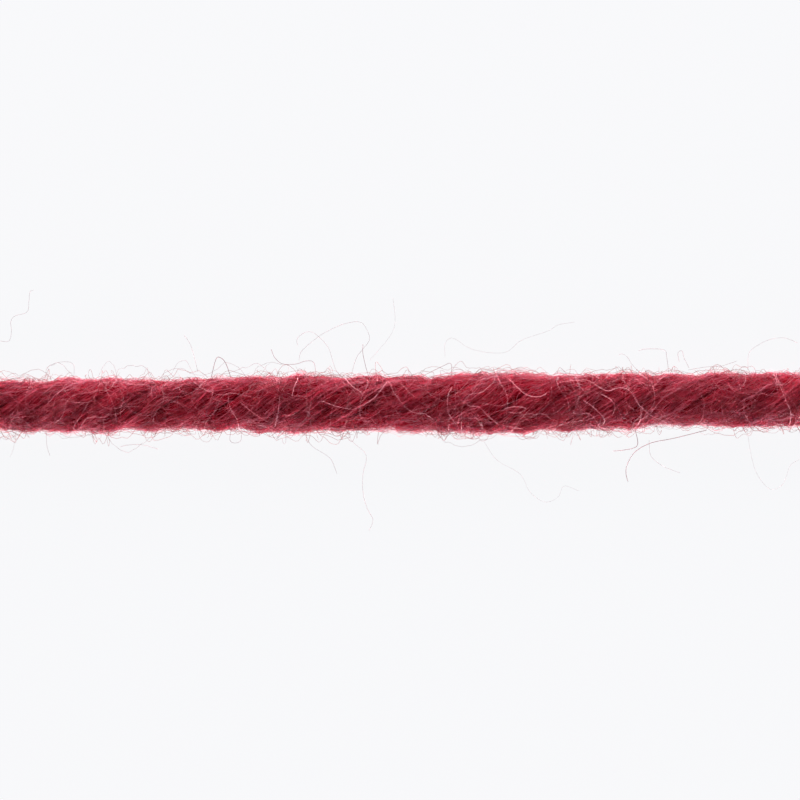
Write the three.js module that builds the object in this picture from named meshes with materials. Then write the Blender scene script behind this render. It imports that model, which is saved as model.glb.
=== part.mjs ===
// A short cut length of four-ply merino wool yarn, lying nearly straight on a flat surface.
//
// Millimetres, +Z up. X runs along the yarn and the origin is under its middle, on the surface.
// Four softly spun singles, the plies, are wound round each other to the left, an S twist.
// Each ply is one mesh as long as the yarn: a wedge with pressed, rounded corners, whose
// section turns with the twist and swells and narrows along the way. Angles round the yarn are
// counted from its top, +Z, towards +Y.

import * as THREE from 'three';

// The cut length, and how it is plied
const YARN_LENGTH = 46;
const LEAD = 10;
const GAP_BETWEEN_PLIES = 0.32;

// The walls between the plies pass this far beside the yarn's middle, all to the same side,
// so no gap runs straight through the yarn
const WALL_OFFSET = 0.15;

// A high number gives a ply squarer corners, and 2 makes it a plain round
const CORNER_POWER = 7;

// How much of its thickness the yarn loses where it presses on the surface
const FLATTENED = 0.12;

// How finely the mesh follows the shape
const STEP_LENGTH = 0.5;
const SECTION_POINTS = 14;

// How thick the yarn is, and how far its middle strays to the side, along its length
const STATIONS = [
  { at: -23.0, width: 2.54, drift: -0.14 },
  { at: -19.5, width: 2.46, drift: -0.14 },
  { at: -15.5, width: 2.74, drift: -0.12 },
  { at: -11.5, width: 2.48, drift: -0.09 },
  { at: -8.5, width: 2.68, drift: -0.05 },
  { at: -5.0, width: 2.92, drift: -0.05 },
  { at: -2.5, width: 2.7, drift: -0.02 },
  { at: 1.0, width: 2.76, drift: -0.05 },
  { at: 5.0, width: 3.08, drift: 0.0 },
  { at: 9.0, width: 2.76, drift: 0.02 },
  { at: 11.0, width: 2.84, drift: 0.09 },
  { at: 13.5, width: 2.54, drift: 0.18 },
  { at: 17.5, width: 2.74, drift: 0.17 },
  { at: 20.5, width: 2.68, drift: 0.15 },
  { at: 23.0, width: 2.62, drift: 0.14 },
];

// Where each of the four grooves between the plies comes over the top, one row for each turn
const GROOVES = ['first', 'second', 'third', 'fourth'];
const GROOVE_TURNS = [
  { first: -19.5, second: -17.65, third: -15.25, fourth: -13.5 },
  { first: -11.5, second: -8.5, third: -5.4, fourth: -3.1 },
  { first: -1.25, second: 2.0, third: 5.75, fourth: 7.75 },
  { first: 10.0, second: 12.35, third: 15.0, fourth: 18.25 },
];

const WOOL = { color: 0x9c2138, roughness: 0.85, metalness: 0 };

// A column's value between two stations, eased so that each station is a soft hump or hollow
function alongTheYarn(column, at) {
  const after = Math.max(1, STATIONS.findIndex((station) => station.at >= at));
  const [from, to] = [STATIONS[after - 1], STATIONS[after]];
  const share = THREE.MathUtils.smoothstep(at, from.at, to.at);
  return THREE.MathUtils.lerp(from[column], to[column], share);
}

// A groove's angle at a place: it turns once from one of its rows to the next, and once in a
// lead before the first row and after the last
function grooveAngle(groove, at) {
  const rows = GROOVE_TURNS.map((turn) => turn[groove]);
  const last = rows.at(-1);
  const places = [rows[0] - LEAD, ...rows, last + LEAD, last + 2 * LEAD];
  const after = places.findIndex((place) => place >= at);
  const share = (at - places[after - 1]) / (places[after] - places[after - 1]);
  return 2 * Math.PI * (after - 1 + share);
}

// The wedge that a ply fills at one place: which way it faces, half its angle and its reach
// from the yarn's middle, with the ply's own middle in it, outward and to the side
function wedgeAt(ply, at) {
  const next = (ply + 1) % GROOVES.length;
  const upper = grooveAngle(GROOVES[ply], at);
  const lower = grooveAngle(GROOVES[next], at) - (next === 0 ? 2 * Math.PI : 0);
  const half = (upper - lower) / 2;
  const radius = alongTheYarn('width', at) / 2;
  const outward = (radius + GAP_BETWEEN_PLIES / 2) / (1 + Math.sin(half));
  return { facing: (upper + lower) / 2, half, radius, outward, sideways: WALL_OFFSET };
}

// How far a ply's skin is from the ply's middle in one direction: whichever is nearest of its
// two side walls and the yarn's round outside, with the corners between them rounded
function reach(direction, wedge) {
  const { half, radius, outward, sideways } = wedge;
  const room = outward * Math.sin(half) - GAP_BETWEEN_PLIES / 2;
  const shift = WALL_OFFSET - sideways * Math.cos(half);
  const wallTurn = Math.PI / 2 + half;
  const along = outward * Math.cos(direction) + sideways * Math.sin(direction);
  const toOutside = Math.sqrt(along ** 2 + radius ** 2 - outward ** 2 - sideways ** 2) - along;
  const nearness = [
    Math.max(0, Math.cos(direction - wallTurn)) / (room + shift),
    Math.max(0, Math.cos(direction + wallTurn)) / (room - shift),
    1 / toOutside,
  ];
  const summed = nearness.reduce((sum, near) => sum + near ** CORNER_POWER, 0);
  return summed ** (-1 / CORNER_POWER);
}

// The place of one point of a ply, at a share of the way from its middle to its skin, and no
// lower than the surface that the yarn lies on
function plyPoint(ply, at, direction, share) {
  const wedge = wedgeAt(ply, at);
  const distance = share * reach(direction, wedge);
  const outward = wedge.outward + distance * Math.cos(direction);
  const sideways = wedge.sideways + distance * Math.sin(direction);
  const y = outward * Math.sin(wedge.facing) + sideways * Math.cos(wedge.facing);
  const z = outward * Math.cos(wedge.facing) - sideways * Math.sin(wedge.facing);
  const axisHeight = wedge.radius - FLATTENED;
  return new THREE.Vector3(at, y + alongTheYarn('drift', at), Math.max(0, z + axisHeight));
}

// A ply starts as a plain round rod of radius 1 along Y, and each of its points then moves to
// its place in the ply
function plyGeometry(ply) {
  const steps = Math.round(YARN_LENGTH / STEP_LENGTH);
  const geometry = new THREE.CylinderGeometry(1, 1, YARN_LENGTH, SECTION_POINTS, steps);
  const points = geometry.getAttribute('position');
  for (let i = 0; i < points.count; i += 1) {
    const [across, at, up] = [points.getX(i), points.getY(i), points.getZ(i)];
    const place = plyPoint(ply, at, Math.atan2(-across, up), Math.hypot(across, up));
    points.setXYZ(i, place.x, place.y, place.z);
  }
  geometry.computeVertexNormals();
  return geometry;
}

const yarn = new THREE.Group();
GROOVES.forEach((groove, ply) => {
  const mesh = new THREE.Mesh(plyGeometry(ply), new THREE.MeshStandardMaterial(WOOL));
  mesh.name = `ply_${ply + 1}`;
  yarn.add(mesh);
});

export default yarn;
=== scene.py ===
# %% [markdown]
# A cut length of merino wool yarn
#
# The yarn is crimson, plied from four softly spun singles, and lies nearly straight on a pale
# surface, seen from straight above. Close to, it is all fibre: streaky locks on each ply, a felt
# of fine hairs at the edges, pale single fibres across the face and long ones that stand out.
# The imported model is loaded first, because every piece takes its place from it.

import math

import bpy
import numpy as np
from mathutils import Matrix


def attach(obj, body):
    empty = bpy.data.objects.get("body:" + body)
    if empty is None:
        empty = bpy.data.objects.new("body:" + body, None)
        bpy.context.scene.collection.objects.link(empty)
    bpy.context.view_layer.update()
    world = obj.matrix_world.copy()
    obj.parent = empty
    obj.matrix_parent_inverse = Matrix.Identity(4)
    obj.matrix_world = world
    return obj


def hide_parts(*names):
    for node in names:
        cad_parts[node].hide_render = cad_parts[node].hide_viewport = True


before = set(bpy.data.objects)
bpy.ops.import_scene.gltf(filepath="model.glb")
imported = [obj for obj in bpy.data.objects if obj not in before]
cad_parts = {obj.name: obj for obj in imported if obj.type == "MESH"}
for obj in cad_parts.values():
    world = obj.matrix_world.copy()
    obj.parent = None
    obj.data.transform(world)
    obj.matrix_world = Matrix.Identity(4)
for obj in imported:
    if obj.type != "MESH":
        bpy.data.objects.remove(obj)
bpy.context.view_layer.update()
MM = 0.001
TAU = 2 * math.pi


# %% [markdown]
# The photo looks straight down on the yarn. A short lens held close would fill the frame too, but
# would see the ends at a slant, so this one is long, 100 mm, and hangs higher. The frame shows
# 40 mm of yarn at the height of its middle, and that sets the camera's height. Blender's camera
# looks down and has its top towards +Y when it isn't turned.

# %% The camera
PICTURE_SIDE = 800
FRAME_WIDTH = 40 * MM
PIXEL = FRAME_WIDTH / PICTURE_SIDE
YARN_MIDDLE_ROW = 403.1
MIDDLE_HEIGHT = 1.3 * MM
SENSOR_WIDTH = 36
LENS = 100
NEAREST_SHOWN = 1 * MM
FARTHEST_SHOWN = 10
CAMERA_HEIGHT = MIDDLE_HEIGHT + FRAME_WIDTH * LENS / SENSOR_WIDTH
CAMERA_ASIDE = (YARN_MIDDLE_ROW - PICTURE_SIDE / 2) * PIXEL

camera_data = bpy.data.cameras.new("camera")
camera_data.sensor_width = SENSOR_WIDTH
camera_data.lens = LENS
camera_data.clip_start = NEAREST_SHOWN
camera_data.clip_end = FARTHEST_SHOWN
camera = bpy.data.objects.new("camera", camera_data)
bpy.context.collection.objects.link(camera)
camera.location = (0, CAMERA_ASIDE, CAMERA_HEIGHT)
bpy.context.scene.camera = camera
print(f"camera {CAMERA_HEIGHT / MM:.1f} mm above the surface")

# %% [markdown]
# The yarn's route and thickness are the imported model's own: a station every few millimetres
# gives the width and how far the yarn's middle strays to the side, and each groove between two
# plies has the places where it comes over the top, one for each turn. All of it could be
# measured on the solids, but repeating the two short tables keeps the wool exactly where they
# are. Only the gap between the plies is smaller here, because real plies touch.

# %% The yarn's sizes along its length
YARN_LENGTH = 46 * MM
LEAD = 10 * MM
GAP_BETWEEN_PLIES = 0.06 * MM
WALL_OFFSET = 0.15 * MM
CORNER_POWER = 7
FLATTENED = 0.12 * MM
STATIONS = np.array([
    # place, width, drift
    (-23.0, 2.54, -0.14),
    (-19.5, 2.46, -0.14),
    (-15.5, 2.74, -0.12),
    (-11.5, 2.48, -0.09),
    (-8.5, 2.68, -0.05),
    (-5.0, 2.92, -0.05),
    (-2.5, 2.7, -0.02),
    (1.0, 2.76, -0.05),
    (5.0, 3.08, 0.0),
    (9.0, 2.76, 0.02),
    (11.0, 2.84, 0.09),
    (13.5, 2.54, 0.18),
    (17.5, 2.74, 0.17),
    (20.5, 2.68, 0.15),
    (23.0, 2.62, 0.14),
]) * MM
PLACE, WIDTH, DRIFT = 0, 1, 2
GROOVE_TURNS = np.array([
    # the first, second, third and fourth groove
    (-19.5, -17.65, -15.25, -13.5),
    (-11.5, -8.5, -5.4, -3.1),
    (-1.25, 2.0, 5.75, 7.75),
    (10.0, 12.35, 15.0, 18.25),
]) * MM
PLIES = range(4)


def along_the_yarn(column, at):
    """A column's value between two stations, eased so that each is a soft hump or hollow."""
    after = np.clip(np.searchsorted(STATIONS[:, PLACE], at), 1, len(STATIONS) - 1)
    start, stop = STATIONS[after - 1], STATIONS[after]
    share = np.clip((at - start[..., PLACE]) / (stop - start)[..., PLACE], 0, 1)
    return start[..., column] + (stop - start)[..., column] * share**2 * (3 - 2 * share)


def groove_angle(groove, at):
    """A groove's angle round the yarn, counted from the top towards +Y."""
    turns = GROOVE_TURNS[:, groove]
    places = [turns[0] - LEAD, *turns, turns[-1] + LEAD, turns[-1] + 2 * LEAD]
    return TAU * np.interp(at, places, range(len(places)))


CORD_STEPS = 93
cord_at = np.linspace(-0.5, 0.5, CORD_STEPS) * YARN_LENGTH
print(f"mean width {along_the_yarn(WIDTH, cord_at).mean() / MM:.2f} mm")

# %% [markdown]
# The outline of real wool is never quite even. A noise texture could displace each piece, but
# then the pieces could come apart from each other. So the wool swells and sinks in small tufts,
# a sum of seven waves that run round the yarn and along it. All pieces read the same ones, apart
# from the fibres placed one by one.

# %% Tufts that keep the outline uneven
TUFTS = [
    # turns round the yarn, pace along it, start, size
    (3, 2.1 / MM, 0.4, 0.022 * MM),
    (-2, 3.3 / MM, 2.9, 0.024 * MM),
    (5, 4.7 / MM, 5.1, 0.026 * MM),
    (-4, 6.1 / MM, 1.7, 0.026 * MM),
    (1, 8.3 / MM, 3.6, 0.024 * MM),
    (7, 10.9 / MM, 0.9, 0.022 * MM),
    (-6, 14.3 / MM, 4.4, 0.022 * MM),
]


def tufts(at, angle):
    """How far the wool swells out or sinks in at a place and an angle round the yarn."""
    return sum(size * np.sin(turns * angle + pace * at + start) for turns, pace, start, size in TUFTS)


top_tufts = tufts(cord_at, 0)
print(f"tufts along the top, {top_tufts.min() / MM:.2f} to {top_tufts.max() / MM:.2f} mm")

# %% [markdown]
# A ply is a wedge of the yarn: two side walls, where it presses on its neighbours, and a round
# outside. A section swept along a curve would be quicker, but it can only grow and turn on the
# way, and these wedges also open and close as the grooves wander. So one function gives the
# place of a point from its place along the yarn, its direction from the ply's own middle and its
# height over the ply's skin. The solid plies, their skins and the tips at the cuts all use it,
# so they turn with the twist. Sinking moves a point towards the yarn's middle, which puts it
# lower without opening the seams between the plies.

# %% Where a point of a ply is
LOWEST_PLY_POINT = 0.004 * MM


def wedge_at(ply, at):
    """A ply's wedge: its facing, half its angle, the yarn's radius and the ply's way out."""
    following = (ply + 1) % len(PLIES)
    upper = groove_angle(ply, at)
    lower = groove_angle(following, at) - (TAU if following == 0 else 0)
    half = (upper - lower) / 2
    radius = along_the_yarn(WIDTH, at) / 2
    outward = (radius + GAP_BETWEEN_PLIES / 2) / (1 + np.sin(half))
    return (upper + lower) / 2, half, radius, outward


def skin_distance(direction, half, radius, outward):
    """How far the skin is from the ply's middle: the nearest of two walls and the outside."""
    room = outward * np.sin(half) - GAP_BETWEEN_PLIES / 2
    shift = WALL_OFFSET * (1 - np.cos(half))
    wall_turn = math.pi / 2 + half
    middle_squared = outward**2 + WALL_OFFSET**2
    along = outward * np.cos(direction) + WALL_OFFSET * np.sin(direction)
    to_outside = np.sqrt(along**2 + radius**2 - middle_squared) - along
    summed = (
        (np.maximum(0, np.cos(direction - wall_turn)) / (room + shift)) ** CORNER_POWER
        + (np.maximum(0, np.cos(direction + wall_turn)) / (room - shift)) ** CORNER_POWER
        + to_outside**-CORNER_POWER
    )
    return summed ** (-1 / CORNER_POWER)


def ply_point(ply, at, direction, height, share=1.0, sink=0.0):
    """The place of points of a ply, no lower than the surface that the yarn lies on."""
    facing, half, radius, outward = wedge_at(ply, at)
    distance = (skin_distance(direction, half, radius, outward) + height) * share
    out = outward + distance * np.cos(direction)
    aside = WALL_OFFSET + distance * np.sin(direction)
    swell = 1 + (tufts(at, facing + np.arctan2(aside, out)) - sink) / radius
    out, aside = out * swell, aside * swell
    y = out * np.sin(facing) + aside * np.cos(facing) + along_the_yarn(DRIFT, at)
    z = out * np.cos(facing) - aside * np.sin(facing) + radius - FLATTENED
    return np.stack([at + 0 * z, y, np.maximum(LOWEST_PLY_POINT, z)], axis=-1)


for ply in PLIES:
    crown = ply_point(ply, np.array([0.0]), direction=0.0, height=0.0)[0]
    print(f"ply_{ply + 1} faces out at y {crown[1] / MM:.2f}, z {crown[2] / MM:.2f} mm half way along")

# %% [markdown]
# The fibres of a single are spun the other way from the plying, so on the yarn's face they lie
# flatter than the grooves, at about 28 degrees to the yarn. They keep together in weak locks,
# which show as streaks with darker lines between them. Noise in a material could paint such
# streaks, but real fibres need a path to follow. So a fibre keeps to a lane, a line round the
# ply, and locks are lanes drawn together. The lanes also wander, a little differently on each
# ply, and the ply rises in a dome, and a little more under the middle of each lock.

# %% How the fibres run in a ply
TWIST_BACK = 0.28 / MM
LOCKS = 13
LOCK_PULL_MEAN = 0.12
LOCK_PULL_SWING = 0.18
LOCK_PULL_TURNS = 2
LOCK_PULL_PACE = 0.9
PLY_RADIUS = 0.62 * MM
WANDER_SEED = 46
WANDER_WAVES = 9
WANDER_TURNS = (1, 6)
WANDER_PACES = (0.3, 4.0)
WANDER_SIZES = (0.03, 0.08)


def wander_waves():
    """The slow waves of each ply's lanes: turns round it, pace along it, start and size."""
    draw = np.random.default_rng(WANDER_SEED)
    return [
        [
            (
                draw.integers(*WANDER_TURNS),
                draw.uniform(*WANDER_PACES) / MM,
                draw.uniform(0, TAU),
                draw.uniform(*WANDER_SIZES),
            )
            for _ in range(WANDER_WAVES)
        ]
        for _ in PLIES
    ]


WANDERS = wander_waves()


def wander(ply, lane, at):
    """How far a lane strays round the ply, in radians."""
    return sum(
        size * np.sin(turns * lane + pace * at + start)
        for turns, pace, start, size in WANDERS[ply]
    )


def lock_pull(ply, lane, at):
    """How tightly a lock is drawn: at 0 its fibres lie evenly, and at 1 all in one line."""
    wave = np.sin(LOCK_PULL_TURNS * lane + LOCK_PULL_PACE * at / MM + ply)
    return LOCK_PULL_MEAN + LOCK_PULL_SWING * wave


def direction_of(ply, lane, at):
    """The direction from the ply's middle at which a lane passes this place."""
    drawn = lane - lock_pull(ply, lane, at) * np.sin(LOCKS * lane) / LOCKS
    return drawn + wander(ply, lane, at) - TWIST_BACK * at


def lane_at(ply, at, direction):
    """The lane that passes a direction, to within a small part of a lock."""
    lane = direction + TWIST_BACK * at
    return lane - wander(ply, lane, at)


print(f"a lock is about {TAU * PLY_RADIUS / LOCKS / MM:.2f} mm wide")

# %% The relief of a ply
LOCK_HEIGHT = 0.015 * MM
LOCK_HEIGHT_MEAN = 0.6
LOCK_HEIGHT_SWING = 0.4
LOCK_HEIGHT_TURNS = 3
LOCK_HEIGHT_PACE = 0.7
LOCK_HEIGHT_PER_PLY = 2
DOME_HEIGHT = 0.1 * MM


def relief(ply, lane, at, direction):
    """How far a ply is domed over its plain wedge, and raised under each lock."""
    wave = np.sin(LOCK_HEIGHT_TURNS * lane - LOCK_HEIGHT_PACE * at / MM + LOCK_HEIGHT_PER_PLY * ply)
    uneven = LOCK_HEIGHT_MEAN + LOCK_HEIGHT_SWING * wave
    dome = DOME_HEIGHT * np.maximum(0, np.cos(direction)) ** 2
    return LOCK_HEIGHT * uneven * np.cos(LOCKS * lane) + dome


crest = relief(0, 0.0, cord_at, 0.0)
print(f"the crest of a ply rises {crest.min() / MM:.3f} to {crest.max() / MM:.3f} mm over its wedge")

# %% [markdown]
# The solid part of each ply stands for the fibres packed inside it. It could be built face by
# face from arrays, but a cylinder along the yarn already has the right faces. Its long edges are
# subdivided until the rings are close enough for the relief, in two rounds, because one takes
# 100 cuts at most. Then each point moves to its place in the wedge, as clay is pressed into a
# mould. The solid part is sunk a third of a millimetre and the skin's fibres fill that room, so
# that at the yarn's edges the light comes through single fibres. The four are joined into one
# piece, because the yarn is one cord.

# %% One ply, from a cylinder
SECTION_POINTS = 32
FIRST_CUTS = 99
SECOND_CUTS = 1
BODY_DEPTH = 0.32 * MM
SAME_RING = 0.001 * MM


def select_long_edges(mesh):
    """Selects the edges that run along the yarn, and nothing else."""
    bpy.context.scene.tool_settings.mesh_select_mode = (False, True, False)
    for part in (mesh.vertices, mesh.edges, mesh.polygons):
        part.foreach_set("select", [False] * len(part))
    for edge in mesh.edges:
        start, stop = (mesh.vertices[v].co for v in edge.vertices)
        edge.select = abs(stop.x - start.x) > SAME_RING


def press_into_wedge(body, ply):
    """Moves each point of a cut cylinder to its place in the ply."""
    points = np.empty(len(body.data.vertices) * 3)
    body.data.vertices.foreach_get("co", points)
    at, y, z = points.reshape(-1, 3).T
    direction, share = np.arctan2(y, z), np.hypot(y, z) / PLY_RADIUS
    height = relief(ply, lane_at(ply, at, direction), at, direction)
    places = ply_point(ply, at, direction, height, share=share, sink=BODY_DEPTH)
    body.data.vertices.foreach_set("co", places.ravel())
    body.data.update()


def ply_body(ply):
    """One ply, from a cylinder that is cut into rings and pressed into its wedge."""
    bpy.ops.object.select_all(action="DESELECT")
    bpy.ops.mesh.primitive_cylinder_add(
        vertices=SECTION_POINTS,
        radius=PLY_RADIUS,
        depth=YARN_LENGTH,
        end_fill_type="TRIFAN",
        rotation=(0, math.pi / 2, 0),
    )
    bpy.ops.object.transform_apply(location=True, rotation=True, scale=True)
    body = bpy.context.active_object
    body.name = f"ply_body_{ply + 1}"
    for cuts in (FIRST_CUTS, SECOND_CUTS):
        select_long_edges(body.data)
        bpy.ops.object.mode_set(mode="EDIT")
        bpy.ops.mesh.subdivide(number_cuts=cuts)
        bpy.ops.object.mode_set(mode="OBJECT")
    press_into_wedge(body, ply)
    print(f"{body.name}: {len(body.data.vertices)} points")
    return body


bodies = [ply_body(ply) for ply in PLIES]

# %% The four plies, joined
bpy.ops.object.select_all(action="DESELECT")
for body in bodies:
    body.select_set(True)
bpy.context.view_layer.objects.active = bodies[0]
bpy.ops.object.join()
strand = bpy.context.active_object
strand.name = "yarn_strand"
bpy.ops.object.mode_set(mode="EDIT")
bpy.ops.mesh.select_all(action="SELECT")
bpy.ops.mesh.normals_make_consistent(inside=False)
bpy.ops.object.mode_set(mode="OBJECT")
bpy.ops.object.shade_smooth()


def triangles_in(piece):
    """How many triangles a piece has."""
    return sum(len(face.vertices) - 2 for face in piece.data.polygons)


print("yarn_strand:", triangles_in(strand), "triangles")

# %% [markdown]
# A fibre is a thin tube with three sides, which is enough, because it is less than a pixel wide.
# Blender's hair or a bevelled curve would give such tubes too, but only a mesh can be exported
# as it is, and a mesh takes thousands of fibres at once from arrays. Each fibre is a row of
# points, and at each point a ring of three is set square to the fibre. The ring's first point is
# carried along from ring to ring, so the tube never flips. Both ends are closed.

# %% The shape of a thin tube
FIBRE_SIDES = 3
ACROSS_ANY_FIBRE = (0.31, 0.57, 0.76)
SHORTEST = 1e-12
LOWEST_FIBRE_POINT = 0.001 * MM


def unit(vectors):
    """Vectors of length 1."""
    return vectors / np.maximum(np.linalg.norm(vectors, axis=-1, keepdims=True), SHORTEST)


def tube_points(paths, thickness):
    """A ring of points round each point of each path, all as rows of x, y and z."""
    forward = unit(np.gradient(paths, axis=1))
    side = np.empty_like(paths)
    last = unit(np.cross(forward[:, 0], ACROSS_ANY_FIBRE))
    for ring in range(paths.shape[1]):
        last = unit(last - forward[:, ring] * (last * forward[:, ring]).sum(-1, keepdims=True))
        side[:, ring] = last
    other = np.cross(forward, side)
    turn = np.arange(FIBRE_SIDES) * TAU / FIBRE_SIDES
    points = (
        paths[:, :, None]
        + thickness[:, :, None, None] / 2
        * (side[:, :, None] * np.cos(turn)[:, None] + other[:, :, None] * np.sin(turn)[:, None])
    ).reshape(-1, 3)
    points[:, 2] = np.maximum(points[:, 2], LOWEST_FIBRE_POINT)
    return points


def tube_faces(fibres, rings):
    """The triangles of all the tubes: two for each side from ring to ring, and two ends."""
    first_of_ring = np.arange(rings - 1)[:, None] * FIBRE_SIDES
    this = first_of_ring + np.arange(FIBRE_SIDES)
    beside = first_of_ring + (np.arange(FIBRE_SIDES) + 1) % FIBRE_SIDES
    end = (rings - 1) * FIBRE_SIDES
    one = np.concatenate([
        np.stack([this, beside, beside + FIBRE_SIDES], -1).reshape(-1, 3),
        np.stack([this, beside + FIBRE_SIDES, this + FIBRE_SIDES], -1).reshape(-1, 3),
        [[2, 1, 0], [end, end + 1, end + 2]],
    ])
    return (one[None] + np.arange(fibres)[:, None, None] * rings * FIBRE_SIDES).reshape(-1, 3)


print("a fibre of 10 rings has", len(tube_faces(1, 10)), "triangles")


# %% A piece made of fibres
def fibre_piece(name, paths, thickness, tones):
    """One mesh with a closed tube along each path. Tones go to the attribute fibre_tone_and_light."""
    fibres, rings = paths.shape[:2]
    vertices = tube_points(paths, thickness)
    faces = tube_faces(fibres, rings)
    mesh = bpy.data.meshes.new(name)
    mesh.vertices.add(len(vertices))
    mesh.vertices.foreach_set("co", vertices.astype(np.float32).ravel())
    mesh.loops.add(faces.size)
    mesh.loops.foreach_set("vertex_index", faces.ravel().astype(np.int32))
    mesh.polygons.add(len(faces))
    mesh.polygons.foreach_set("loop_start", np.arange(0, faces.size, 3, dtype=np.int32))
    mesh.polygons.foreach_set("use_smooth", np.ones(len(faces), dtype=bool))
    tone = mesh.attributes.new("fibre_tone_and_light", "FLOAT", "POINT")
    tone.data.foreach_set("value", np.repeat(tones, rings * FIBRE_SIDES).astype(np.float32))
    mesh.update(calc_edges=True)
    mesh.validate()
    piece = bpy.data.objects.new(name, mesh)
    bpy.context.collection.objects.link(piece)
    print(f"{name}: {fibres} fibres, {len(faces)} triangles")
    return piece


def column(draw, low, high, count):
    """One random number for each fibre, as a column."""
    return draw.uniform(low, high, (count, 1))


# %% [markdown]
# The skin of each ply is fibres that keep to their lanes for a few millimetres and dive in at
# both ends. A bump map could draw them, but only real fibres make a soft edge. Each is as thick
# as merino, 0.014 to 0.026 mm. Some lie higher than others, which catches the light and gives
# the streaks depth, and each has a slow wave of its own, the crimp of the wool. The higher and
# the coarser ones also get paler tones, which is painted light: less of their neighbours' shade
# falls on them and they catch more light, so they stand out from the fibres below them.

# %% The skin of the plies
SKIN_FIBRES = 3700
SKIN_RINGS = 7
SKIN_SEED = 100
SKIN_REACH = 2.05
SKIN_LENGTHS = (1.6, 3.8)
SKIN_PAST_CUT = 0.25
LANE_REACH = 1.5
LANE_SLANT = 0.13
CRIMP_LENGTHS = (1.2, 2.8)
CRIMP_SIZES = (0.02, 0.14)
SKIN_DEPTH = 0.34 * MM
LEVEL_SHAPE = 1.6
LEVEL_SCALE = 0.025
LEVEL_MORE = 0.16
RISE_SWING = 0.5
RISE_WAVES = 2.1
RISE_PER_LANE = 5
SKIN_DIVE = 0.07 * MM
DIVE_POWER = 6
SKIN_THICKNESS = 0.02 * MM
FINEST, COARSER = 0.7, 0.6
THIN_END = 0.5
# Painted light: fibres that lie higher, up to this level, and coarser fibres get paler tones, as if
# less shaded and more lit. Only the dye's share is the fibre's own random colour.
FULL_LIGHT_LEVEL = 0.25 * MM
LIGHT_LEVEL_POWER = 1.5
PAINTED_LIGHT_BY_LEVEL, DYE_TONE, PAINTED_LIGHT_BY_COARSENESS = 0.4, 0.25, 0.35


def skin_paths(ply, draw):
    """The paths of a ply's fibres, each one's level over the skin's floor, and its place."""
    start = column(draw, -0.5, 0.5, SKIN_FIBRES) * YARN_LENGTH
    long = column(draw, *SKIN_LENGTHS, SKIN_FIBRES) * MM
    end = 0.5 * YARN_LENGTH + column(draw, 0, SKIN_PAST_CUT, SKIN_FIBRES) * MM
    first, last = np.clip(start - long / 2, -end, end), np.clip(start + long / 2, -end, end)
    share = np.linspace(0, 1, SKIN_RINGS)
    at = first + share * (last - first)
    lane = column(draw, -LANE_REACH, LANE_REACH, SKIN_FIBRES) + TWIST_BACK * start
    slant = draw.normal(0, LANE_SLANT, (SKIN_FIBRES, 1)) / MM
    crimp_length = column(draw, *CRIMP_LENGTHS, SKIN_FIBRES) * MM
    crimp_size = column(draw, *CRIMP_SIZES, SKIN_FIBRES)
    crimp = crimp_size * np.sin(TAU * at / crimp_length + column(draw, 0, TAU, SKIN_FIBRES))
    direction = direction_of(ply, lane, at) + slant * (at - start) + crimp
    direction = np.clip(direction, -SKIN_REACH, SKIN_REACH)
    level = draw.gamma(LEVEL_SHAPE, LEVEL_SCALE, (SKIN_FIBRES, 1))
    level = (level + column(draw, 0, LEVEL_MORE, SKIN_FIBRES)) * MM
    wave = np.sin(TAU * at / (RISE_WAVES * crimp_length) + lane * RISE_PER_LANE)
    rise = level * (1 + RISE_SWING * wave)
    dive = SKIN_DIVE * np.abs(2 * share - 1) ** DIVE_POWER
    height = relief(ply, lane, at, direction)
    return ply_point(ply, at, direction, height, sink=SKIN_DEPTH - rise + dive), level


def skin_of(ply):
    """The fibres on one ply, with thin ends."""
    draw = np.random.default_rng(SKIN_SEED + ply)
    paths, level = skin_paths(ply, draw)
    coarse = column(draw, 0, 1, SKIN_FIBRES)
    thickness = SKIN_THICKNESS * (FINEST + COARSER * coarse**2) + np.zeros(SKIN_RINGS)
    thickness[:, [0, -1]] *= THIN_END
    # Painted light: a fibre's height and coarseness make its tone paler, standing in for the light it
    # catches and the shade it escapes.
    level_light_mask = np.clip(level[:, 0] / FULL_LIGHT_LEVEL, 0, 1) ** LIGHT_LEVEL_POWER
    dye = draw.uniform(0, 1, SKIN_FIBRES)
    tones = PAINTED_LIGHT_BY_LEVEL * level_light_mask + DYE_TONE * dye + PAINTED_LIGHT_BY_COARSENESS * coarse[:, 0]
    return fibre_piece(f"ply_skin_{ply + 1}", paths, thickness, tones)


skins = [skin_of(ply) for ply in PLIES]

# %% [markdown]
# Round the plies lies a felt of loose fibres, which belong to no lock. They wander over the
# yarn's round outside in wide curves, some close to it and some arching away, and both ends
# usually go back in. Hairs scattered straight out of the surface would be easier, but they make
# a brush, not wool. So a loose fibre is a walk over the unrolled outside: it starts somewhere
# with a heading, the heading turns with a few slow waves, and a height is added on the way. The
# starts are bunched a little, so the fuzz comes and goes along the yarn as in the photo.

# %% Where a loose fibre lies
GROOVE_DIP = 0.09 * MM
GROOVE_WIDTH = 0.33
LOWEST_LOOSE_POINT = 0.012 * MM


def yarn_point(at, angle, height):
    """The place of points at an angle round the yarn, at a height over its grooved outside."""
    radius = along_the_yarn(WIDTH, at) / 2
    off = [np.angle(np.exp(1j * (angle - groove_angle(groove, at)))) for groove in PLIES]
    dip = GROOVE_DIP * sum(np.exp(-((turn / GROOVE_WIDTH) ** 2)) for turn in off)
    out = radius + height - dip + tufts(at, angle)
    y = out * np.sin(angle) + along_the_yarn(DRIFT, at)
    z = out * np.cos(angle) + radius - FLATTENED
    return np.stack([at, y, np.maximum(LOWEST_LOOSE_POINT, z)], axis=-1)


ridge = yarn_point(cord_at, 0.0, 0.0)[:, 2]
print(f"the yarn's top is {ridge.min() / MM:.2f} to {ridge.max() / MM:.2f} mm over the surface")

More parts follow.
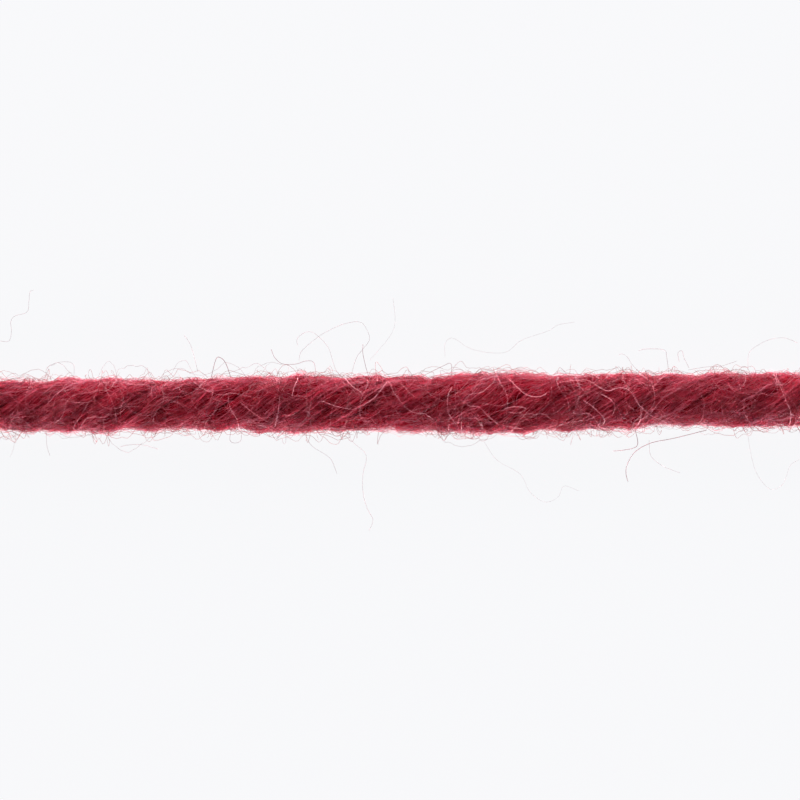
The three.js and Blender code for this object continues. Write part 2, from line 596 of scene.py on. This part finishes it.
# %% The walk of a loose fibre
TURNING_WAVES = 3
SLOWEST_TURNING = 0.7
TURNING_LENGTH = 2.4 * MM
BUNCHES = [
    # size in millimetres, pace in radians a millimetre, start
    (0.3, 2.3, 0),
    (0.45, 0.9, 1),
]
UNROLLED_RADIUS = 1.36 * MM
CLIMB_POWER = 1.3
ARCH_POWER = 3
FLUTTER = 0.35
FLUTTER_WAVES = (0.6, 2.2)
ROOT_DEPTH = 0.08 * MM
LOOSE_LIFT = 0.01 * MM
LOOSE_PAST_CUT = 0.6 * MM
THIN_TIP = 0.4


def headings(draw, long, share, curl, slant):
    """Each fibre's heading at each of its points, in radians from the yarn's own direction."""
    count, step = len(long), long / (len(share) - 1)
    turning = sum(
        column(draw, *curl, count) / MM / (wave + 1)
        * np.sin(
            TAU * (wave + SLOWEST_TURNING) * long / TURNING_LENGTH * share
            + column(draw, 0, TAU, count)
        )
        for wave in range(TURNING_WAVES)
    )
    forward = np.radians(draw.normal(*slant, (count, 1)))
    turned_back = np.pi * draw.integers(0, 2, (count, 1))
    return forward + turned_back + np.cumsum(turning * step, axis=1)


def heights(draw, share, around, rise, free):
    """Each fibre's height over the yarn: an arch, or a climb to a free end on a share of them."""
    count = len(around)
    climbs = column(draw, 0, 1, count) < free
    arch = np.where(climbs, share**CLIMB_POWER, 1 - np.abs(2 * share - 1) ** ARCH_POWER)
    top = column(draw, *rise, count) * MM
    flutter = 1 + FLUTTER * np.sin(TAU * share * column(draw, *FLUTTER_WAVES, count) + around)
    return top * arch * flutter - ROOT_DEPTH * (1 - arch) + LOOSE_LIFT


def loose_fibres(name, seed, count, rings, length, rise, curl, slant, thickness, free=0.0):
    """Fibres that wander round the yarn. The slant is a mean and a spread in degrees. The other
    pairs are a least and a most: length, rise and thickness in millimetres, and curl in radians
    a millimetre. Free is the share of fibres with an end that stands out."""
    draw = np.random.default_rng(seed)
    long = column(draw, *length, count) * MM
    share = np.linspace(0, 1, rings)
    step = long / (rings - 1)
    heading = headings(draw, long, share, curl, slant)
    half = 0.5 * YARN_LENGTH
    start = column(draw, -half, half, count)
    at = start
    for size, pace, phase in BUNCHES:
        at = at + size * MM * np.sin(pace * start / MM + phase)
    at = at + np.cumsum(np.cos(heading) * step, axis=1)
    around = column(draw, 0, TAU, count)
    angle = around + np.cumsum(np.sin(heading) * step, axis=1) / UNROLLED_RADIUS
    height = heights(draw, share, around, rise, free)
    width = column(draw, *thickness, count) * MM + 0 * share
    width[:, -1] *= THIN_TIP
    tones = draw.uniform(0, 1, count)
    keep = np.abs(at).max(axis=1) < half + LOOSE_PAST_CUT
    return fibre_piece(name, yarn_point(at, angle, height)[keep], width[keep], tones[keep])


felt = loose_fibres(
    "felt_fibres", seed=7, count=2100, rings=12, length=(1.2, 4.0), rise=(-0.17, 0.03),
    curl=(0.6, 2.2), slant=(25, 26), thickness=(0.016, 0.022),
)

# %% The fuzz
frizz = loose_fibres(
    "frizz_fibres", seed=12, count=1000, rings=10, length=(0.8, 2.6), rise=(-0.03, 0.3),
    curl=(0.9, 2.5), slant=(15, 40), thickness=(0.012, 0.018), free=0.3,
)
tips = loose_fibres(
    "fibre_tips", seed=10, count=550, rings=8, length=(0.3, 1.2), rise=(0.0, 0.35),
    curl=(0.4, 2.0), slant=(25, 40), thickness=(0.011, 0.016), free=1.0,
)
halo = loose_fibres(
    "halo_fibres", seed=9, count=640, rings=14, length=(1.0, 3.4), rise=(-0.02, 0.55),
    curl=(0.6, 2.3), slant=(15, 40), thickness=(0.012, 0.018), free=0.25,
)

# %% The fibres across the face, and the strays
crossing = loose_fibres(
    "crossing_fibres", seed=8, count=250, rings=24, length=(2.0, 6.0), rise=(0.01, 0.15),
    curl=(0.4, 1.7), slant=(10, 50), thickness=(0.008, 0.013),
)
strays = loose_fibres(
    "stray_fibres", seed=11, count=40, rings=32, length=(3.0, 8.0), rise=(0.2, 1.0),
    curl=(0.5, 1.7), slant=(10, 50), thickness=(0.01, 0.014), free=0.4,
)

# %% [markdown]
# The yarn is cut straight across at both ends, and the cut lets the fibres spring out a little.
# A plain flat end would do for the photo, which doesn't show it, but a library part is seen from
# all sides. Each of these tips starts inside a ply and comes out of its end face, a bit askew.

# %% The fibre tips at the two cuts
CUT_FIBRES = 80
CUT_RINGS = 6
CUT_SEED = 300
SEEDS_FOR_A_PLY = 10
CUT_TONE_SEED = 5
CUT_REACH = 0.93
CUT_SINK = 0.2 * MM
TIP_INSIDE = 0.4
TIP_LENGTHS = (0.06, 0.5)
TIP_ASKEW = 0.3
TIP_THICKNESS = 0.018 * MM


def cut_tip_paths(ply, way):
    """The paths of the tips at one end of a ply. The way is 1 or -1, the sign of that end."""
    draw = np.random.default_rng(CUT_SEED + SEEDS_FOR_A_PLY * ply + way)
    at = way * 0.5 * YARN_LENGTH
    direction = column(draw, -np.pi, np.pi, CUT_FIBRES)
    inside = CUT_REACH * np.sqrt(column(draw, 0, 1, CUT_FIBRES))
    roots = ply_point(ply, at + 0 * direction, direction, height=0.0, share=inside, sink=CUT_SINK)
    share = np.linspace(-TIP_INSIDE, 1, CUT_RINGS)[:, None]
    long = draw.uniform(*TIP_LENGTHS, (CUT_FIBRES, 1, 1)) * MM
    askew = draw.normal(0, TIP_ASKEW, (CUT_FIBRES, 1, 3)) * share**2
    return roots + long * (share * np.array([way, 0, 0]) + askew)


cut_paths = np.concatenate([cut_tip_paths(ply, way) for ply in PLIES for way in (-1, 1)])
cut_tones = np.random.default_rng(CUT_TONE_SEED).uniform(0, 1, len(cut_paths))
cut_tips = fibre_piece("cut_tips", cut_paths, np.full(cut_paths.shape[:2], TIP_THICKNESS), cut_tones)

# %% [markdown]
# A few bold fibres give this yarn its own look, and chance never draws them, so they are placed
# one by one. Each is named and follows a few points read off the photo, in pixels, joined by a
# smooth curve. Those past the edge stand out level with the yarn's middle or arch a little, and
# the pale ones lie on its face. How thick each is comes from how dark it looks in the photo.

# %% Fibres that stand out, in pixels
FLY_AWAYS = {
    "left_climber": [(0, 341), (9, 341), (11.5, 331), (10.7, 322), (15, 316), (27, 312), (29, 301),
                     (30, 292), (34, 290)],
    "left_loop": [(45, 378), (48, 367), (61, 362), (73, 364), (74, 378)],
    "short_hook": [(184, 335), (191, 346), (198, 372)],
    "small_arch": [(211, 378), (216, 359), (221, 358), (226, 364), (231, 378)],
    "low_arch": [(271, 349), (275, 358), (283, 364), (296, 364), (306, 361), (314, 363), (316, 378)],
    "long_diver": [(298, 346), (297, 339), (304, 333), (312, 332), (320, 338), (329, 349),
                   (337, 372), (352, 382), (362, 392)],
    "great_arch": [(299, 361), (301, 352), (314, 340), (326, 332), (344, 324), (360, 322),
                   (367, 330), (369, 341), (357, 357), (351, 376)],
    "tall_mast": [(370, 360), (390, 336), (395, 321), (393, 298)],
    "mast_foot": [(363, 344), (363, 354), (367, 371), (372, 384)],
    "long_drop": [(346, 428), (352, 441), (366, 455), (363, 474), (363, 492), (367, 508),
                  (373, 520), (369, 531)],
    "short_drop": [(306, 436), (312, 446), (326, 455), (332, 461), (337, 474)],
    "low_loop": [(231, 429), (230, 440), (235, 443), (241, 440), (241, 429)],
    "lying_hair": [(120, 447), (128, 445), (143, 445), (158, 449)],
    "left_drop": [(13, 430), (14, 446), (10, 457)],
    "next_drop": [(46, 429), (47, 446), (50, 456)],
    "swan_neck": [(445, 357), (445, 344), (450, 338), (457, 340), (469, 348), (484, 352),
                  (501, 353), (510, 350), (522, 340), (548, 331), (558, 325), (575, 322)],
    "hook_over": [(451, 380), (451, 364), (441, 367), (415, 380)],
    "right_arch": [(638, 351), (646, 349), (664, 350), (667, 359), (669, 376)],
    "right_loop": [(679, 362), (678, 353), (682, 351), (684, 358), (689, 368)],
    "right_lash": [(688, 370), (706, 367), (721, 366), (737, 361)],
    "right_bow": [(748, 370), (749, 353), (760, 344), (772, 339), (785, 338), (798, 343)],
    "faint_trail": [(483, 440), (497, 460), (520, 474), (530, 492), (545, 502), (558, 497),
                    (564, 486), (579, 491)],
    "dark_hook": [(707, 430), (675, 438), (651, 443), (635, 452), (627, 465), (626, 474),
                  (628, 482)],
    "side_lash": [(613, 451), (624, 450), (637, 446), (636, 433), (633, 424)],
    "cross_lash": [(649, 440), (651, 456), (663, 466), (680, 473)],
    "right_trail": [(747, 429), (751, 454), (757, 474), (770, 489), (783, 484), (790, 466),
                    (800, 459)],
}
print(len(FLY_AWAYS), "fibres stand out")

# %% Pale fibres on the face, in pixels
FACE_FIBRES = {
    "long_wave": [(508, 378), (518, 388), (525, 394), (535, 397), (544, 395), (551, 388),
                  (559, 383), (569, 381), (585, 380), (591, 382), (599, 387), (608, 391),
                  (618, 388), (627, 389), (633, 395), (636, 401), (641, 407), (650, 415),
                  (659, 419), (667, 423)],
    "slanting_run": [(461, 400), (470, 406), (479, 407), (488, 416), (494, 421), (501, 426),
                     (511, 427), (523, 429)],
    "left_bow": [(452, 387), (448, 396), (448, 411), (453, 420), (457, 424), (460, 415)],
    "flat_loop": [(504, 409), (512, 407), (520, 407), (526, 409), (518, 413), (508, 412)],
    "hook": [(583, 400), (593, 407), (603, 417), (604, 423), (598, 427), (590, 428)],
    "faint_arc": [(601, 394), (611, 400), (615, 407), (612, 415), (604, 419)],
    "short_slant": [(345, 378), (352, 386), (362, 393)],
    "left_sweep": [(387, 382), (374, 398), (358, 408), (350, 409), (335, 406), (322, 401)],
    "short_vee": [(298, 378), (294, 388), (292, 397)],
    "upright": [(280, 396), (279, 405), (278, 414), (275, 426)],
    "low_slant": [(240, 402), (252, 412), (267, 422)],
}
print(len(FACE_FIBRES), "pale fibres lie on the face")

# %% From pixels to places
CURVE_STEPS = 16


def smooth_path(points, rings):
    """A curve through the points, as a row of evenly spaced ones (Catmull-Rom)."""
    points = np.array(points, dtype=float)
    padded = np.concatenate([[2 * points[0] - points[1]], points, [2 * points[-1] - points[-2]]])
    share = np.linspace(0, 1, CURVE_STEPS, endpoint=False)[:, None]
    curve = [points[-1:]]
    for k in reversed(range(len(points) - 1)):
        a, b, c, d = padded[k:k + 4]
        stretch = 0.5 * (2 * b + (c - a) * share + (2 * a - 5 * b + 4 * c - d) * share**2
                         + (3 * b - a - 3 * c + d) * share**3)
        curve.insert(0, stretch)
    curve = np.concatenate(curve)
    gone = np.concatenate([[0], np.cumsum(np.linalg.norm(np.diff(curve, axis=0), axis=1))])
    even = np.linspace(0, gone[-1], rings)
    return np.stack([np.interp(even, gone, curve[:, k]) for k in range(2)], axis=-1)


def from_photo(pixels, z):
    """The place in space that shows at these pixels of the photo, at a height."""
    reach = PIXEL * (CAMERA_HEIGHT - z) / (CAMERA_HEIGHT - MIDDLE_HEIGHT)
    x = (pixels[..., 0] - PICTURE_SIDE / 2) * reach
    y = CAMERA_ASIDE + (PICTURE_SIDE / 2 - pixels[..., 1]) * reach
    return np.stack([x, y, z + 0 * x], axis=-1)


def top_of_yarn(places, lift):
    """The height of the yarn's outside over each place, and the middle's beside the yarn."""
    radius = along_the_yarn(WIDTH, places[..., 0]) / 2
    aside = np.abs(places[..., 1] - along_the_yarn(DRIFT, places[..., 0])) / (radius + lift)
    dome = np.sqrt(np.maximum(0, 1 - np.minimum(1, aside) ** 2)) * (radius + lift)
    return radius - FLATTENED + dome


hook_tip = from_photo(np.array(FLY_AWAYS["dark_hook"][-1]), MIDDLE_HEIGHT) / MM
print(f"the dark hook ends at x {hook_tip[0]:.2f}, y {hook_tip[1]:.2f} mm")

# %% Fibres placed one by one
KINDS = {
    "dark": ("small_arch", "dark_hook", "side_lash"),
    "bold": ("low_arch", "mast_foot", "hook_over"),
    "clear": ("low_loop", "lying_hair", "right_arch", "right_loop"),
    "faint": ("tall_mast", "faint_trail", "left_drop", "swan_neck", "right_trail"),
    "face": tuple(FACE_FIBRES),
}
THICKNESS = {
    "dark": 0.032 * MM,
    "bold": 0.023 * MM,
    "face": 0.02 * MM,
    "clear": 0.017 * MM,
    "fine": 0.013 * MM,
    "faint": 0.008 * MM,
}
FACE_LIFT = 0.04 * MM
BESIDE_THE_YARN = 1.4 * MM
STAND_OUT_SINK = 0.15
STAND_OUT_WAVE = 5
LOWEST_PLACED = 0.1 * MM


def kind_of(name):
    """Which kind a fibre placed one by one is. One that isn't listed is fine."""
    return next((kind for kind, names in KINDS.items() if name in names), "fine")


def by_hand(name, fibres, seed, rings, lift, sink, tones):
    """A piece with one fibre for each named row of pixels, in tones between a least and a most.
    Past the yarn's edge a fibre rises or sinks with the distance."""
    draw = np.random.default_rng(seed)
    pixels = np.stack([smooth_path(points, rings) for points in fibres.values()])
    flat = from_photo(pixels, MIDDLE_HEIGHT + 0 * pixels[..., 0])
    height = top_of_yarn(flat, lift)
    away = np.maximum(0, np.abs(flat[..., 1]) - BESIDE_THE_YARN)
    wave = draw.uniform(-1, 1, (len(fibres), 1)) * np.sin(np.linspace(0, STAND_OUT_WAVE, rings))
    paths = from_photo(pixels, np.maximum(LOWEST_PLACED, height + away * (wave - sink)))
    width = np.array([[THICKNESS[kind_of(fibre)]] for fibre in fibres]) + 0 * wave
    width[:, [0, -1]] *= THIN_END
    return fibre_piece(name, paths, width, draw.uniform(*tones, len(fibres)))


fly_aways = by_hand(
    "fly_aways", FLY_AWAYS, seed=26, rings=56, lift=0.0, sink=STAND_OUT_SINK, tones=(0.1, 0.7)
)
face_fibres = by_hand(
    "face_fibres", FACE_FIBRES, seed=11, rings=60, lift=FACE_LIFT, sink=0.0, tones=(0.5, 1.0)
)
loose = [felt, frizz, tips, halo, cut_tips, strays, fly_aways, crossing, face_fibres]
print("triangles in all:", sum(triangles_in(piece) for piece in (strand, *skins, *loose)))

# %% [markdown]
# The wool is dyed crimson, deeper where the fibres are packed and paler where they lie singly.
# Colours stored on the points would do for whole fibres, but not for changes along one. So one
# node group gives the colour that all the wool shares: it mixes a deep and a light crimson by
# the fibre's tone, which on the plies' skin also holds painted light, and by long streaks of
# noise on Object coordinates, stretched along the yarn, so that the dye looks as uneven as it
# does on a real skein. The mix node has sockets for each kind of value under the same names, so
# those for colours are given by number.

# %% The dyed wool's colour, as a node group
STREAK_SCALE = (260, 1600, 1600)
STREAK_DETAIL = 3.0
NOISE_MIDDLE = 0.5
MIX_A, MIX_B, MIX_RESULT = 6, 7, 2


def new_socket(group, name, way, kind, default=None):
    """A named input or output of a node group."""
    socket = group.interface.new_socket(name=name, in_out=way, socket_type=kind)
    if default is not None:
        socket.default_value = default


def dyed_wool_group():
    """A group that gives the dyed wool's colour and a mask of its streaks."""
    group = bpy.data.node_groups.new("dyed_wool", "ShaderNodeTree")
    new_socket(group, "Deep", "INPUT", "NodeSocketColor", (0.1, 0.01, 0.02, 1))
    new_socket(group, "Light", "INPUT", "NodeSocketColor", (0.5, 0.05, 0.09, 1))
    new_socket(group, "Tone", "INPUT", "NodeSocketFloat", 0.5)
    new_socket(group, "Streaks", "INPUT", "NodeSocketFloat", 0.5)
    new_socket(group, "Color", "OUTPUT", "NodeSocketColor")
    new_socket(group, "Streak", "OUTPUT", "NodeSocketFloat")
    nodes, links = group.nodes, group.links
    given = nodes.new("NodeGroupInput")
    out = nodes.new("NodeGroupOutput")
    coordinates = nodes.new("ShaderNodeTexCoord")
    mapping = nodes.new("ShaderNodeMapping")
    mapping.inputs["Scale"].default_value = STREAK_SCALE
    noise = nodes.new("ShaderNodeTexNoise")
    noise.inputs["Scale"].default_value = 1.0
    noise.inputs["Detail"].default_value = STREAK_DETAIL
    centred = nodes.new("ShaderNodeMath")
    centred.operation = "SUBTRACT"
    centred.inputs[1].default_value = NOISE_MIDDLE
    strength = nodes.new("ShaderNodeMath")
    strength.operation = "MULTIPLY_ADD"
    strength.use_clamp = True
    mix = nodes.new("ShaderNodeMix")
    mix.data_type = "RGBA"
    links.new(coordinates.outputs["Object"], mapping.inputs["Vector"])
    links.new(mapping.outputs["Vector"], noise.inputs["Vector"])
    links.new(noise.outputs["Fac"], centred.inputs[0])
    links.new(centred.outputs[0], strength.inputs[0])
    links.new(given.outputs["Streaks"], strength.inputs[1])
    links.new(given.outputs["Tone"], strength.inputs[2])
    links.new(strength.outputs[0], mix.inputs["Factor"])
    links.new(given.outputs["Deep"], mix.inputs[MIX_A])
    links.new(given.outputs["Light"], mix.inputs[MIX_B])
    links.new(mix.outputs[MIX_RESULT], out.inputs["Color"])
    links.new(noise.outputs["Fac"], out.inputs["Streak"])
    return group


dyed_wool = dyed_wool_group()
print(f"node group {dyed_wool.name}: {len(dyed_wool.nodes)} nodes")

# %% [markdown]
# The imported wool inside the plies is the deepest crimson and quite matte, and a fine bump
# follows its streaks. Sheen would look softer at first, but its pale gleam greys the crimson, so
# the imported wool, the skin and the felt have none, and no gloss either.

# %% A material for a kind of wool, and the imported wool
SHEEN_ROUGHNESS = 0.4
SHEEN_TINT = (1.0, 0.62, 0.68, 1)
BUMP_STRENGTH = 0.5
BUMP_DISTANCE = 0.03 * MM


def dye(nodes, deep, light, streaks):
    """The dyed wool's node group, placed in a material with these colours."""
    wool = nodes.new("ShaderNodeGroup")
    wool.node_tree = dyed_wool
    wool.inputs["Deep"].default_value = deep
    wool.inputs["Light"].default_value = light
    wool.inputs["Streaks"].default_value = streaks
    return wool


def wool_material(name, deep, light, streaks, roughness, specular=0.0, sheen=0.0):
    """A matte material in the dyed wool's colours, and its node group."""
    material = bpy.data.materials.new(name)
    material.use_nodes = True
    nodes, links = material.node_tree.nodes, material.node_tree.links
    surface = nodes["Principled BSDF"]
    surface.inputs["Roughness"].default_value = roughness
    surface.inputs["Specular IOR Level"].default_value = specular
    surface.inputs["Sheen Weight"].default_value = sheen
    surface.inputs["Sheen Roughness"].default_value = SHEEN_ROUGHNESS
    surface.inputs["Sheen Tint"].default_value = SHEEN_TINT
    wool = dye(nodes, deep, light, streaks)
    links.new(wool.outputs["Color"], surface.inputs["Base Color"])
    return material, wool


def wear(material, pieces):
    """Puts a material on pieces."""
    for piece in pieces:
        piece.data.materials.append(material)
    print(f"{material.name} on {', '.join(piece.name for piece in pieces)}")


packed_wool, packed_dye = wool_material(
    "packed_wool", deep=(0.2, 0.004, 0.011, 1), light=(0.3, 0.007, 0.018, 1), streaks=2.0,
    roughness=0.9,
)
packed_nodes, packed_links = packed_wool.node_tree.nodes, packed_wool.node_tree.links
bump = packed_nodes.new("ShaderNodeBump")
bump.inputs["Strength"].default_value = BUMP_STRENGTH
bump.inputs["Distance"].default_value = BUMP_DISTANCE
packed_links.new(packed_dye.outputs["Streak"], bump.inputs["Height"])
packed_links.new(bump.outputs["Normal"], packed_nodes["Principled BSDF"].inputs["Normal"])
wear(packed_wool, [strand])

# %% [markdown]
# A single wool fibre lets light through, which is why the yarn's edges turn pink against the
# pale floor. Subsurface scattering could do that in a solid, but a tube this thin needs only a
# Translucent shader mixed with the Principled one. The light that comes through has colours of
# its own, paler than those on the surface. The skin and the felt get the strongest crimson.

# %% The wool of the skin and the felt
FIBRE_STREAKS = 0.6


def let_light_through(material, fibre_dye, share, deep, light):
    """Sends a share of the light through the fibres, in colours of its own."""
    nodes, links = material.node_tree.nodes, material.node_tree.links
    inner = dye(nodes, deep, light, fibre_dye.inputs["Streaks"].default_value)
    through = nodes.new("ShaderNodeBsdfTranslucent")
    both = nodes.new("ShaderNodeMixShader")
    both.inputs["Fac"].default_value = share
    links.new(nodes["fibre tone and light"].outputs["Fac"], inner.inputs["Tone"])
    links.new(inner.outputs["Color"], through.inputs["Color"])
    links.new(nodes["Principled BSDF"].outputs["BSDF"], both.inputs[1])
    links.new(through.outputs["BSDF"], both.inputs[2])
    links.new(both.outputs["Shader"], nodes["Material Output"].inputs["Surface"])


def fibre_wool(name, through=None, **finish):
    """A wool in which each fibre takes its own tone, and lets light through where that's given."""
    material, fibre_dye = wool_material(name, **finish)
    tone = material.node_tree.nodes.new("ShaderNodeAttribute")
    tone.name = "fibre tone and light"
    tone.attribute_name = "fibre_tone_and_light"
    material.node_tree.links.new(tone.outputs["Fac"], fibre_dye.inputs["Tone"])
    if through:
        let_light_through(material, fibre_dye, **through)
    return material


skin_wool = fibre_wool(
    "skin_wool", deep=(0.42, 0.003, 0.014, 1), light=(0.64, 0.035, 0.08, 1), streaks=0.8,
    roughness=0.5,
    through={"share": 0.45, "deep": (0.76, 0.06, 0.14, 1), "light": (0.84, 0.77, 0.85, 1)},
)
wear(skin_wool, skins)
felt_wool = fibre_wool(
    "felt_wool", deep=(0.24, 0.006, 0.016, 1), light=(0.62, 0.05, 0.09, 1), streaks=FIBRE_STREAKS,
    roughness=0.55,
    through={"share": 0.45, "deep": (0.69, 0.3, 0.42, 1), "light": (0.83, 0.82, 0.87, 1)},
)
wear(felt_wool, [felt])

# %% [markdown]
# The fuzz and the strays lie singly against the pale floor, so most of what is seen of them is
# the light that comes through. Its colours are duller here, or else they would vanish in the
# white. The pale fibres on the face let none through. Their pale pink is painted highlight, the
# bright glint of strong light on single fibres, and they also have gloss and sheen, so they stand
# out against the crimson.

# %% The wool of the fuzz, the strays and the pale fibres
fuzz_wool = fibre_wool(
    "fuzz_wool", deep=(0.25, 0.012, 0.03, 1), light=(0.6, 0.08, 0.12, 1), streaks=FIBRE_STREAKS,
    roughness=0.55, specular=0.2, sheen=0.1,
    through={"share": 0.7, "deep": (0.3, 0.09, 0.09, 1), "light": (0.43, 0.24, 0.23, 1)},
)
wear(fuzz_wool, [frizz, tips, halo, cut_tips])
stray_wool = fibre_wool(
    "stray_wool", deep=(0.3, 0.06, 0.08, 1), light=(0.5, 0.2, 0.23, 1), streaks=FIBRE_STREAKS,
    roughness=0.55, specular=0.3, sheen=0.3,
    through={"share": 0.6, "deep": (0.27, 0.19, 0.21, 1), "light": (0.38, 0.33, 0.35, 1)},
)
wear(stray_wool, [strays, fly_aways])
# Painted highlight: these pale pink colours stand for strong light glinting on single fibres.
painted_glint_wool = fibre_wool(
    "painted_glint_wool", deep=(0.75, 0.08, 0.14, 1), light=(1.0, 0.42, 0.52, 1), streaks=FIBRE_STREAKS,
    roughness=0.3, specular=1.0, sheen=1.0,
)
wear(painted_glint_wool, [crossing, face_fibres])

# %% [markdown]
# In the photo the floor is an even, nearly white surface with almost no shadow. A white sheet lit
# from above would show the same white, but too little light would come up through the fibres at
# the edges, which are pink in the photo. So the floor glows like a light panel, and takes little
# light itself. The Light Path node shows the camera the photo's pale white and gives the wool
# ten times that. How strong the real light was isn't known: this was chosen to match the edges.

# %% The floor
FLOOR_RADIUS = 1.5
FLOOR_SIDES = 96
FLOOR_GREY = (0.03, 0.03, 0.03, 1)
FLOOR_GLOW = (0.9357, 0.9435, 0.96, 1)
PANEL_SHOWS = 0.977
PANEL_LIGHTS = 9.8

bpy.ops.object.select_all(action="DESELECT")
bpy.ops.mesh.primitive_circle_add(vertices=FLOOR_SIDES, radius=FLOOR_RADIUS, fill_type="NGON")
floor = bpy.context.active_object
floor.name = "floor"
panel = bpy.data.materials.new("pale_floor")
panel.use_nodes = True
panel_surface = panel.node_tree.nodes["Principled BSDF"]
panel_surface.inputs["Base Color"].default_value = FLOOR_GREY
panel_surface.inputs["Roughness"].default_value = 1.0
panel_surface.inputs["Specular IOR Level"].default_value = 0.0
panel_surface.inputs["Emission Color"].default_value = FLOOR_GLOW
seen = panel.node_tree.nodes.new("ShaderNodeLightPath")
glow = panel.node_tree.nodes.new("ShaderNodeMapRange")
glow.inputs["To Min"].default_value = PANEL_LIGHTS
glow.inputs["To Max"].default_value = PANEL_SHOWS
panel.node_tree.links.new(seen.outputs["Is Camera Ray"], glow.inputs["Value"])
panel.node_tree.links.new(glow.outputs["Result"], panel_surface.inputs["Emission Strength"])
floor.data.materials.append(panel)
print(f"floor {2 * FLOOR_RADIUS:.0f} m across")

# %% [markdown]
# The floor lights the yarn's sides, and lamps light its face from above. One lamp alone would
# leave a hard shadow side, and the photo has none, so two soft boxes hang on both sides, the
# upper one stronger. They are slightly warm, so that the crimson looks as it does in the photo,
# and a dim even sky fills the grooves.

# %% The light
WHITE = (1, 1, 1, 1)
SKY_STRENGTH = 0.11
WARM_WHITE = (1.0, 0.8, 0.84)
SOFTBOX_SIDE = 0.25

world = bpy.data.worlds.new("studio")
bpy.context.scene.world = world
world.use_nodes = True
sky = world.node_tree.nodes["Background"]
sky.inputs["Color"].default_value = WHITE
sky.inputs["Strength"].default_value = SKY_STRENGTH


def softbox(name, place, power):
    """A square area light, slightly warm, that faces the yarn's middle."""
    data = bpy.data.lights.new(name, "AREA")
    data.size = SOFTBOX_SIDE
    data.energy = power
    data.color = WARM_WHITE
    light = bpy.data.objects.new(name, data)
    bpy.context.collection.objects.link(light)
    light.location = place
    light.rotation_euler = (-light.location).to_track_quat("-Z", "Y").to_euler()
    print(f"{name}: {power} W, {light.location.length:.2f} m from the yarn")


softbox("upper_softbox", place=(0.03, 0.3, 0.12), power=1.92)
softbox("lower_softbox", place=(-0.03, -0.3, 0.1), power=0.9)
bpy.context.scene.view_settings.view_transform = "Standard"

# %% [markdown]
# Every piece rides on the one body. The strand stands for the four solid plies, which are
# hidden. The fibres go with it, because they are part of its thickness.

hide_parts("ply_1", "ply_2", "ply_3", "ply_4")
for piece in (strand, *skins, *loose):
    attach(piece, "root")
print(f"{1 + len(skins) + len(loose)} pieces ride on the root, and the cord has {CORD_STEPS} points")
